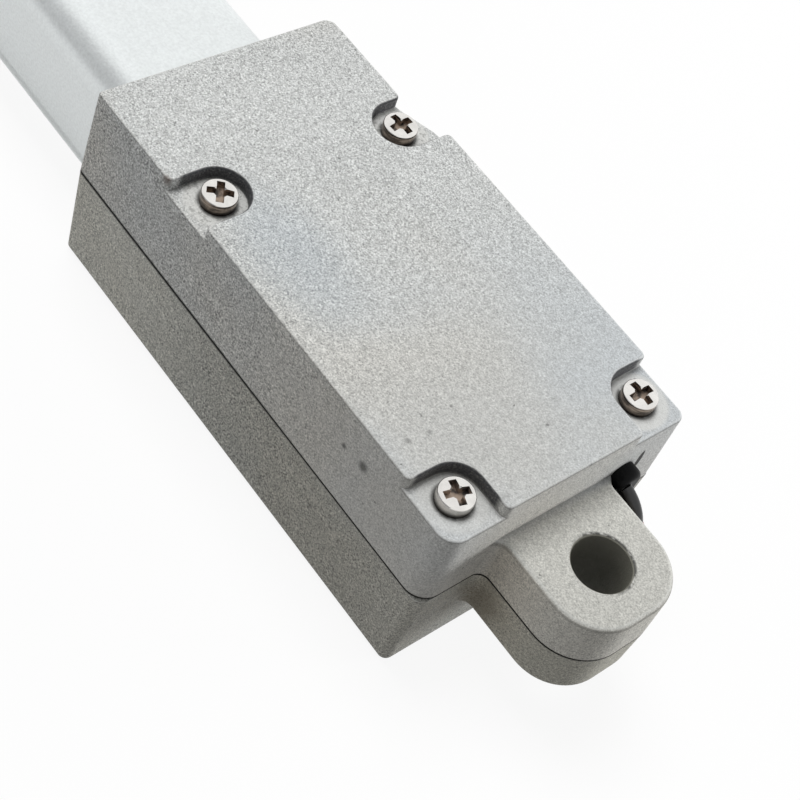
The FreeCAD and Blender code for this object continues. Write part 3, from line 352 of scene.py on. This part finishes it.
def rolled_thread(name, colour):
    """Bright steel with a thread round the screw's axis, darker in its bottom."""
    material, place = new_finish(name)
    up = place.part("Z") - screw_axis[1]
    aside = place.part("Y") - screw_axis[0]
    angle = place.node("Math", {"operation": "ARCTAN2"}, {0: up, 1: aside})
    turns = place.part("X") * (1 / screw_lead) + angle * (0.5 / math.pi)
    ridge = place.node("Math", {"operation": "PINGPONG"}, {0: turns, 1: 0.5}) * 2
    oil = place.noise(300.0)
    return set_finish(material, {
        "Base Color": ridge.ramp(0.0, 0.5).mix(tint(92, 90, 86), colour),
        "Roughness": 0.25 + oil * 0.15,
        "Metallic": 1.0,
        "Normal": ridge.ramp(0.1, 0.7).bump(thread_depth),
    })


dress(rolled_thread("rolled_screw", tint(190, 190, 188)), "lead_screw")
dress(steel, "bearing_outer_ring", "bearing_inner_ring", "bearing_balls", "coupling_pin", "screw_clip")
dress(moulded("acetal", tint(226, 224, 214), 0.4), "drive_nut")


# Limit switches
# A narrow printed board inside the tube with a small switch at each end of the nut's travel, two
# diodes, and two wires back to the motor.

dress(moulded("board_lacquer", tint(26, 92, 52), 0.35), "limit_board")
dress(moulded("switch_case", tint(30, 30, 32), 0.45), "limit_switches", "board_diodes")
dress(moulded("button_nylon", tint(214, 206, 188), 0.4), "rear_switch_button", "front_switch_button")


# Push rod and its eye
# A drawn stainless tube, polished, that the nut pushes out through the front bush. Its eye is milled
# from aluminium bar and held by a cross pin.

dress(drawn_metal("polished_rod", tint(214, 215, 216), 0.16, lengthways), "push_rod")
sideways = (1.0, 0.15, 1.0)
dress(drawn_metal("milled_alloy", tint(206, 208, 210), 0.34, sideways), "rod_end")
dress(steel, "rod_end_pin")


# Tube and front bush
# An extruded aluminium tube, bead blasted and clear anodised, with a moulded bush and a rubber seal
# at its front, held by two countersunk screws.

def blasted_alloy(name, colour):
    """Bead-blasted aluminium under a clear anodised skin, which dulls its shine."""
    material, place = new_finish(name)
    beads = place.noise(5200.0)
    cloud = place.noise(60.0)
    return set_finish(material, {
        "Base Color": shaded(place, colour, (beads - 0.5) * 0.3 + (cloud - 0.5) * 0.04),
        "Roughness": 0.38 + (beads - 0.5) * 0.1,
        "Metallic": 0.6,
        "Normal": beads.bump(0.000016),
    })


dress(blasted_alloy("anodised_tube", tint(233, 237, 237)), "outer_tube")
dress(moulded("bush_acetal", tint(36, 37, 39), 0.45), "front_bush")
dress(moulded("seal_rubber", tint(22, 22, 22), 0.7), "rod_seal")
dress(drawn_metal("black_screws", tint(60, 60, 62), 0.35), "bush_screws")


# Housing, upper half, and its screws
# The lid of the tray, a zinc die casting like it, held by four pan-head screws of nickel-plated steel
# that sit in pockets of its sides.

screw_spots = [(0.00705, 0.0074), (0.00705, -0.0081), (0.0316, 0.00708), (0.0316, -0.00778)]
head_seat, head_rim, head_reach = 0.0063, 0.0071, 0.0012
slot_reach = 0.00092
pocket_wall = 0.0024
left_face, top_face, end_face = 0.0097, 0.0073, 0.0044
cool_patch = (0.0255, 0.0062, top_face)
wall_spots = [(0.0121, left_face, 0.0046, 0.0006), (0.0139, left_face, 0.0044, 0.00032)]
top_spots = [(0.0112, 0.0079, top_face, 0.00035), (0.01195, 0.0039, top_face, 0.0002),
             (0.0111, 0.0063, top_face, 0.00022)]
brown_nick = (0.03356, left_face, 0.0072)
outlet_nick = (end_face, -0.00748, 0.0036)


def to_nearest_screw(place):
    """How far a place is from the axis of the nearest screw."""
    reaches = [distance(place, (x, y, 0.0), (1.0, 1.0, 0.0)) for x, y in screw_spots]
    nearest = reaches[0]
    for reach in reaches[1:]:
        nearest = nearest.sum("MINIMUM", nearest, reach)
    return nearest


def off_near_left_screw(place):
    """0 at the near left screw and in its pocket, and 1 at the other three."""
    return distance(place, (*screw_spots[0], 0.0), (1.0, 1.0, 0.0)).ramp(0.003, 0.005)


def cover_stains(place):
    """Painted shade on the pockets' sides, a painted shadow round each head, painted light on the pockets'
    floor, rubbed-in spots, and a nick over the leads' outlet.
    """
    height = place.part("Z")
    from_screw = to_nearest_screw(place)
    steep = facing(place).part("Z").ramp(0.98, 0.75)
    # Each pocket gets painted shade on its sides, painted light on its floor (less at the near left screw),
    # and a painted shadow on the ground round the head.
    shaded_walls = from_screw.ramp(pocket_wall + 0.0004, pocket_wall) * steep
    shaded_walls = shaded_walls * height.ramp(head_seat, head_seat + 0.0002)
    shaded_walls = shaded_walls * (0.85 + place.noise(7000.0).ramp(0.3, 0.6) * 0.15)
    floors = from_screw.ramp(pocket_wall, pocket_wall - 0.0004) * (1 - steep)
    floors = floors * height.ramp(head_seat + 0.0002, head_seat + 0.0001)
    shadow_ring = from_screw.ramp(head_reach + 0.0003, head_reach) * (1 - steep)
    shadow_ring = shadow_ring * place.noise(1500.0).ramp(0.2, 0.5)
    rough_floor = floors * place.part("X").ramp(0.025, 0.029) * place.noise(4200.0).ramp(0.52, 0.66)
    patch = distance(place, cool_patch, (0.6, 1.0, 1.0)).ramp(0.005, 0.001)
    scorch = distance(place, brown_nick, (0.5, 1.0, 0.6)).ramp(0.00045, 0.0002)
    nick = distance(place, outlet_nick, (0.2, 1.0, 0.25)).ramp(0.00028, 0.00022)
    stains = [
        (patch * 0.2, tint(146, 166, 184)),
        (floors * (0.3 + off_near_left_screw(place) * 0.35), bare_and_lit_zinc),
        (shaded_walls * 0.92, tint(38, 38, 43)),
        (shadow_ring * 0.85, dirt_and_shade),
        (rough_floor * 0.35, dirt_and_shade),
        (scorch * 0.6, tint(88, 66, 52)),
    ]
    for spots, strength in ((wall_spots, 0.8), (top_spots, 0.45)):
        for x, y, z, reach in spots:
            stains.append((distance(place, (x, y, z)).ramp(reach, reach * 0.2) * strength, dirt_and_shade))
    stains.append((nick, tint(20, 19, 18)))
    return stains


cover_zinc = cast_zinc("zinc_cover", tint(200, 198, 192), tint(189, 193, 195),
                       contrast=0.88, smooth_end=0.55, far_end_light=0.0, stains=cover_stains)
dress(cover_zinc, "cover_shell")

plate = tint(230, 228, 224)
seat_shade = tint(66, 60, 56)
dark_side_reflection, light_side_reflection = tint(66, 52, 42), tint(158, 142, 128)
recess_shade, recess_glint = tint(50, 39, 33), tint(176, 156, 138)


def nickel_heads(name):
    """Dull plate on the heads, with painted reflections in bands on their sides, painted shade round the
    seat, and brown painted shade with painted glints down in the cross recess.
    """
    material, place = new_finish(name)
    height = place.part("Z")
    scuffs = place.noise(1500.0, 3.0)
    smears = place.noise(650.0)
    recess = height.ramp(head_rim + 0.00004, head_rim - 0.00006)
    recess = recess * to_nearest_screw(place).ramp(slot_reach + 0.00006, slot_reach)
    seat = height.ramp(head_seat + 0.0006, head_seat + 0.0001)
    steep = facing(place).part("Z").ramp(0.75, 0.35)
    bands = (place * (0.35, 0.35, 1.6)).noise(2600.0).ramp(0.4, 0.64)
    tone = shaded(place, plate, (scuffs - 0.5) * 0.3 + (smears - 0.5) * 0.4)
    # The sides of the heads get painted reflections, in dark and light bands.
    side_reflection = steep * (0.35 + off_near_left_screw(place) * 0.57)
    tone = side_reflection.mix(tone, bands.mix(dark_side_reflection, light_side_reflection))
    # Painted shade round the seat and down in the cross recess, with painted glints there.
    tone = (seat * 0.85).mix(tone, seat_shade)
    tone = (recess * 0.9).mix(tone, scuffs.ramp(0.4, 0.6).mix(recess_shade, recess_glint))
    return set_finish(material, {
        "Base Color": tone,
        "Roughness": 0.24 + recess * 0.3 + (scuffs - 0.5) * 0.2,
        "Metallic": 1 - recess * 0.5,
        "Normal": scuffs.bump(0.00001),
    })


dress(nickel_heads("nickel_heads"), "cover_screws")


# Leads
# Two stranded wires in soft vinyl, black and red, that leave the end face through a rubber grommet,
# run along the housing's right side and end in a neat coil. Their ends are stripped and tinned.

mm = 0.001
lead_diameter = 0.001
coil_centre = (67.0, -19.0)
steps_per_turn = 16
radius_by_turn = [(0.0, 7.5), (0.25, 6.5), (2.25, 4.5), (2.75, 4.5), (3.25, 5.5), (4.25, 6.5)]
layer_ends, next_layer, layer_height = 2.25, 2.75, 1.0


def vinyl(name, colour):
    """Soft extruded insulation with a slight shine and a film of dust."""
    material, place = new_finish(name)
    dust = place.noise(900.0, 4.0)
    return set_finish(material, {
        "Base Color": shaded(place, colour, (dust - 0.5) * 0.3),
        "Roughness": 0.36 + (dust - 0.5) * 0.2,
        "Coat Weight": 0.15,
        "Normal": dust.bump(0.00001),
    })


def between(turn, shape):
    """A value along a line of (turn, value) corners."""
    for (start, low), (end, high) in zip(shape, shape[1:]):
        if turn <= end:
            return low + (high - low) * (turn - start) / (end - start)
    return shape[-1][1]


def coil_points(low_z):
    """The put-away turns: in along one layer, up, and out along the next."""
    height_by_turn = [(0.0, low_z), (layer_ends, low_z), (next_layer, low_z + layer_height)]
    points = []
    for step in range(1, int(radius_by_turn[-1][0] * steps_per_turn) + 1):
        turn = step / steps_per_turn
        radius = between(turn, radius_by_turn)
        angle = math.radians(90 - 360 * turn)
        x = coil_centre[0] + radius * math.cos(angle)
        y = coil_centre[1] + radius * math.sin(angle)
        points.append((x, y, between(turn, height_by_turn)))
    return points


def free_lead(name, material, points):
    """A lead along one smooth curve through the pull of its points, in millimetres."""
    curve = bpy.data.curves.new(name, "CURVE")
    curve.dimensions = "3D"
    spline = curve.splines.new("NURBS")
    spline.points.add(len(points) - 1)
    for point, place in zip(spline.points, points):
        point.co = (*(mm * part for part in place), 1.0)
    spline.order_u = 3
    spline.use_endpoint_u = True
    curve.resolution_u = 6
    curve.bevel_depth = lead_diameter / 2
    curve.bevel_resolution = 5
    curve.use_fill_caps = True
    curve.materials.append(material)
    lead = bpy.data.objects.new(name, curve)
    bpy.context.scene.collection.objects.link(lead)
    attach(lead, "housing")
    return lead


black_exit = (3.4, -5.5, 3.1)
black_route = [
    (2.75, -5.5, 2.95), (1.9, -5.5, 2.25), (1.4, -5.5, 1.25), (1.15, -5.5, 0.1), (0.85, -5.6, -1.2),
    (0.6, -5.95, -2.6), (0.6, -6.65, -3.95), (0.95, -7.75, -5.15), (1.7, -9.1, -6.15), (2.7, -10.55, -6.9),
    (4.2, -11.95, -7.3), (6.6, -12.95, -7.4), (11.8, -13.15, -7.4), (20.5, -12.8, -7.4),
    (31.0, -13.2, -7.4), (42.0, -12.6, -7.4), (50.5, -11.9, -7.3), (59.0, -11.55, -7.1), (67.0, -11.5, -6.9),
]
red_exit = (3.4, -5.95, 1.6)
red_route = [
    (2.7, -5.97, 1.45), (1.85, -6.28, 0.8), (1.35, -6.7, -0.25), (1.15, -7.2, -1.35), (1.0, -7.85, -2.5),
    (1.05, -8.65, -3.55), (1.4, -9.55, -4.5), (2.15, -10.55, -5.35), (3.4, -11.55, -5.95),
    (5.2, -12.35, -6.25), (7.6, -12.8, -6.3), (11.6, -12.95, -6.3), (20.5, -12.6, -6.3), (31.0, -12.95, -6.3),
    (42.0, -12.4, -6.3), (50.5, -11.7, -6.0), (59.0, -11.55, -5.3), (67.0, -11.5, -4.9),
]
black_coil_low, red_coil_low = -7.15, -5.15
black_vinyl = vinyl("black_vinyl", tint(14, 14, 15))
red_vinyl = vinyl("red_vinyl", tint(120, 18, 16))
dress(black_vinyl, "motor_lead_black")
dress(red_vinyl, "motor_lead_red", "board_wires")
grommet_rubber = set_finish(moulded("grommet_rubber", tint(9, 9, 10), 0.45), {"Specular IOR Level": 0.1})
dress(grommet_rubber, "lead_grommet")
black_coil = coil_points(black_coil_low)
red_coil = coil_points(red_coil_low)
black_lead = free_lead("black_lead", black_vinyl, [black_exit] + black_route + black_coil)
red_lead = free_lead("red_lead", red_vinyl, [red_exit] + red_route + red_coil)
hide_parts("lead_black", "lead_coil_black")
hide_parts("lead_red", "lead_coil_red")

strand_radius, stripped_length, tip_share = 0.0003, 0.004, 0.6
bar_sides = 20
strands = drawn_metal("tinned_strands", tint(204, 206, 208), 0.3, crossways, 5000.0)


def solid_piece(name, material, corners, faces):
    """A small separate piece that goes with a lead."""
    mesh = bpy.data.meshes.new(name)
    mesh.from_pydata(corners, [], faces)
    mesh.materials.append(material)
    piece = bpy.data.objects.new(name, mesh)
    bpy.context.scene.collection.objects.link(piece)
    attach(piece, "housing")
    return piece


def stripped_end(name, points):
    """Tinned strands that carry on straight from a lead's end, in a round bar with a cut tip."""
    before, end = (Vector(point) * mm for point in points[-2:])
    ahead = (end - before).normalized()
    across = ahead.cross(Vector((0.0, 0.0, 1.0))).normalized()
    up = across.cross(ahead)
    rings = [(0.0, 1.0), (stripped_length - strand_radius, 1.0), (stripped_length, tip_share)]
    corners = []
    for reach, share in rings:
        for side in range(bar_sides):
            turn = 2 * math.pi * side / bar_sides
            spoke = across * math.cos(turn) + up * math.sin(turn)
            corners.append(end + ahead * reach + spoke * strand_radius * share)
    faces = [tuple(range(bar_sides)), tuple(range(2 * bar_sides, 3 * bar_sides))]
    for ring in range(len(rings) - 1):
        low, high = ring * bar_sides, (ring + 1) * bar_sides
        for side in range(bar_sides):
            after = (side + 1) % bar_sides
            faces.append((low + side, low + after, high + after, high + side))
    return solid_piece(name, strands, corners, faces)


tie_width, tie_thickness, tie_corner = 2.0, 0.18, 0.6
tie_reach, tie_rise = (3.75, 6.6), (-7.68, -3.6)
tie_lock_reach, tie_lock_rise, tie_lock_half = (4.4, 6.0), 1.1, 1.3
tie_corner_steps = 4


def rounded_loop(reach, rise, corner):
    """A rectangle with round corners, by distance from the coil's middle and by height."""
    inset = (corner, -corner)
    points = []
    for across, up, first in ((1, 1, 0), (0, 1, 90), (0, 0, 180), (1, 0, 270)):
        middle_reach, middle_rise = reach[across] + inset[across], rise[up] + inset[up]
        for step in range(tie_corner_steps + 1):
            turn = math.radians(first + 90 * step / tie_corner_steps)
            points.append((middle_reach + corner * math.cos(turn), middle_rise + corner * math.sin(turn)))
    return points


def nylon_tie(name):
    """A strap round both coils, and the square lock that its tail is drawn through."""
    inner = rounded_loop(tie_reach, tie_rise, tie_corner)
    grown = [(low - tie_thickness, high + tie_thickness) for low, high in (tie_reach, tie_rise)]
    outer = rounded_loop(*grown, tie_corner + tie_thickness)
    count = len(inner)
    places = [(r, z, side * tie_width / 2) for side in (-1, 1) for r, z in inner + outer]
    near_in, near_out, far_in, far_out = 0, count, 2 * count, 3 * count
    faces = []
    for i in range(count):
        j = (i + 1) % count
        faces.append((near_in + i, near_in + j, near_out + j, near_out + i))
        faces.append((far_in + j, far_in + i, far_out + i, far_out + j))
        faces.append((near_in + j, near_in + i, far_in + i, far_in + j))
        faces.append((near_out + i, near_out + j, far_out + j, far_out + i))
    start = len(places)
    lock_low = tie_rise[1] + tie_thickness
    lock_heights = (lock_low, lock_low + tie_lock_rise)
    for y in (-tie_lock_half, tie_lock_half):
        places += [(r, z, y) for r in tie_lock_reach for z in lock_heights]
    for face in ((0, 1, 3, 2), (4, 6, 7, 5), (0, 4, 5, 1), (2, 3, 7, 6), (0, 2, 6, 4), (1, 5, 7, 3)):
        faces.append(tuple(start + corner for corner in face))
    middle_x, middle_y = coil_centre
    corners = [(mm * (middle_x - r), mm * (middle_y + y), mm * z) for r, z, y in places]
    return solid_piece(name, moulded("tie_nylon", tint(224, 222, 214), 0.45), corners, faces)


black_end = stripped_end("black_lead_end", black_coil)
red_end = stripped_end("red_lead_end", red_coil)
coil_tie = nylon_tie("coil_tie")
lead_pieces = ((black_lead, black_exit, [black_end, coil_tie]), (red_lead, red_exit, [red_end]))
for lead, start, pieces in lead_pieces:
    tuple(mm * part for part in start)


# Studio
# A paper floor under the housing, a white room, soft lamps, and the photograph's camera. Two grey cards
# beside the set show only in shiny surfaces and give the tube its bands.

def paper_shade(nodes, grey):
    """Plain paper of one grey, as a shader."""
    paper = nodes.new("ShaderNodeBsdfDiffuse")
    paper.inputs["Color"].default_value = (grey, grey, grey, 1.0)
    return Field(paper.outputs[0])


def seen_by_eye(nodes):
    """1 for what is seen straight, in metal or through glass, and 0 for the light that falls on things."""
    rays = nodes.new("ShaderNodeLightPath")
    seen = Field(rays.outputs["Is Camera Ray"]) + Field(rays.outputs["Is Glossy Ray"])
    return (seen + Field(rays.outputs["Is Transmission Ray"])).ramp(0.0, 1.0)


def blend(nodes, share, none, full):
    """A shader between two, by a share."""
    mixed = nodes.new("ShaderNodeMixShader")
    for socket, given in zip(mixed.inputs, (share, none, full)):
        feed(socket, given)
    return Field(mixed.outputs[0])


dull_grey, pale_grey, shadow_share = 0.2, 0.9, 0.1
floor_material = bpy.data.materials.new("studio_floor")
floor_material.use_nodes = True
floor_nodes = floor_material.node_tree.nodes
floor_nodes.clear()
seen = seen_by_eye(floor_nodes)
paper = blend(floor_nodes, seen, paper_shade(floor_nodes, dull_grey), paper_shade(floor_nodes, pale_grey))
white = Field(floor_nodes.new("ShaderNodeEmission").outputs[0])
paper = blend(floor_nodes, seen * (1 - shadow_share), paper, white)
feed(floor_nodes.new("ShaderNodeOutputMaterial").inputs["Surface"], paper)


def stage_sheet(name, material, corners):
    """A flat sheet of the set, which is no part of the object."""
    mesh = bpy.data.meshes.new(name)
    mesh.from_pydata(corners, [], [(0, 1, 2, 3)])
    mesh.materials.append(material)
    sheet = bpy.data.objects.new(name, mesh)
    bpy.context.scene.collection.objects.link(sheet)
    return sheet


floor_z = cad_box[0].z
floor_half = 1.5
floor_signs = [(-1, -1), (1, -1), (1, 1), (-1, 1)]
floor_corners = [(floor_half * x, floor_half * y, floor_z) for x, y in floor_signs]
stage_sheet("studio_floor", floor_material, floor_corners)

room_light = 0.28
world = bpy.data.worlds.new("white_room")
world.use_nodes = True
bpy.context.scene.world = world
room = world.node_tree.nodes["Background"]
room.inputs["Color"].default_value = (1.0, 1.0, 1.0, 1.0)
feed(room.inputs["Strength"], seen_by_eye(world.node_tree.nodes) * (1 - room_light) + room_light)


def soft_lamp(name, place, aim, size, watts):
    """A square soft box, so many metres wide, turned towards its aim."""
    lamp = bpy.data.lights.new(name, "AREA")
    lamp.size = size
    lamp.energy = watts
    light = bpy.data.objects.new(name, lamp)
    light.location = place
    light.rotation_euler = (Vector(aim) - Vector(place)).to_track_quat("-Z", "Y").to_euler()
    bpy.context.scene.collection.objects.link(light)
    return light


housing_middle = (0.02, 0.0, 0.0)
overhead = soft_lamp("overhead", (0.2, -0.03, 0.5), housing_middle, size=0.25, watts=2.0)
overhead.visible_glossy = False
soft_lamp("left_fill", (0.22, 0.5, 0.12), housing_middle, size=0.3, watts=0.43)
end_fill = soft_lamp("end_fill", (-0.08, -0.14, 0.02), housing_middle, size=0.05, watts=0.2)
end_fill.visible_glossy = False


def reflected_card(name, colour, corners):
    """Grey paper beside the set that only shows in shiny surfaces."""
    grey = new_finish(name)[0]
    set_finish(grey, {"Base Color": colour, "Roughness": 0.9})
    card = stage_sheet(name, grey, corners)
    card.visible_camera = card.visible_diffuse = card.visible_shadow = False


card_foot = floor_z + 0.0003
card_y, card_top = 0.1, 0.2
card_near, card_far = -0.05, 0.2
upright_corners = [(card_near, card_y, card_foot), (card_far, card_y, card_foot),
                   (card_far, card_y, card_top), (card_near, card_y, card_top)]
reflected_card("upright_card", tint(176, 176, 178), upright_corners)
# A grey strip on the floor beside the tube, seen only in its shine, that puts painted shade into the
# reflection on its lower side.
strip_near, strip_far = 0.043, 0.16
strip_from, strip_to = 0.0074, 0.0093
strip_corners = [(strip_near, strip_from, card_foot), (strip_far, strip_from, card_foot),
                 (strip_far, strip_to, card_foot), (strip_near, strip_to, card_foot)]
reflected_card("floor_shade_card", tint(186, 188, 186), strip_corners)

camera_data = bpy.data.cameras.new("camera")
camera_data.sensor_width = 36.0
camera_data.lens = 78.615
camera_data.clip_start = 0.005
camera_data.clip_end = 10.0
camera = bpy.data.objects.new("camera", camera_data)
camera.location = (-0.019697, 0.062403, 0.086191)
camera_angles = (36.535, -16.301, -128.362)
camera.rotation_euler = [math.radians(angle) for angle in camera_angles]
bpy.context.scene.collection.objects.link(camera)
bpy.context.scene.camera = camera
bpy.context.scene.view_settings.view_transform = "Standard"
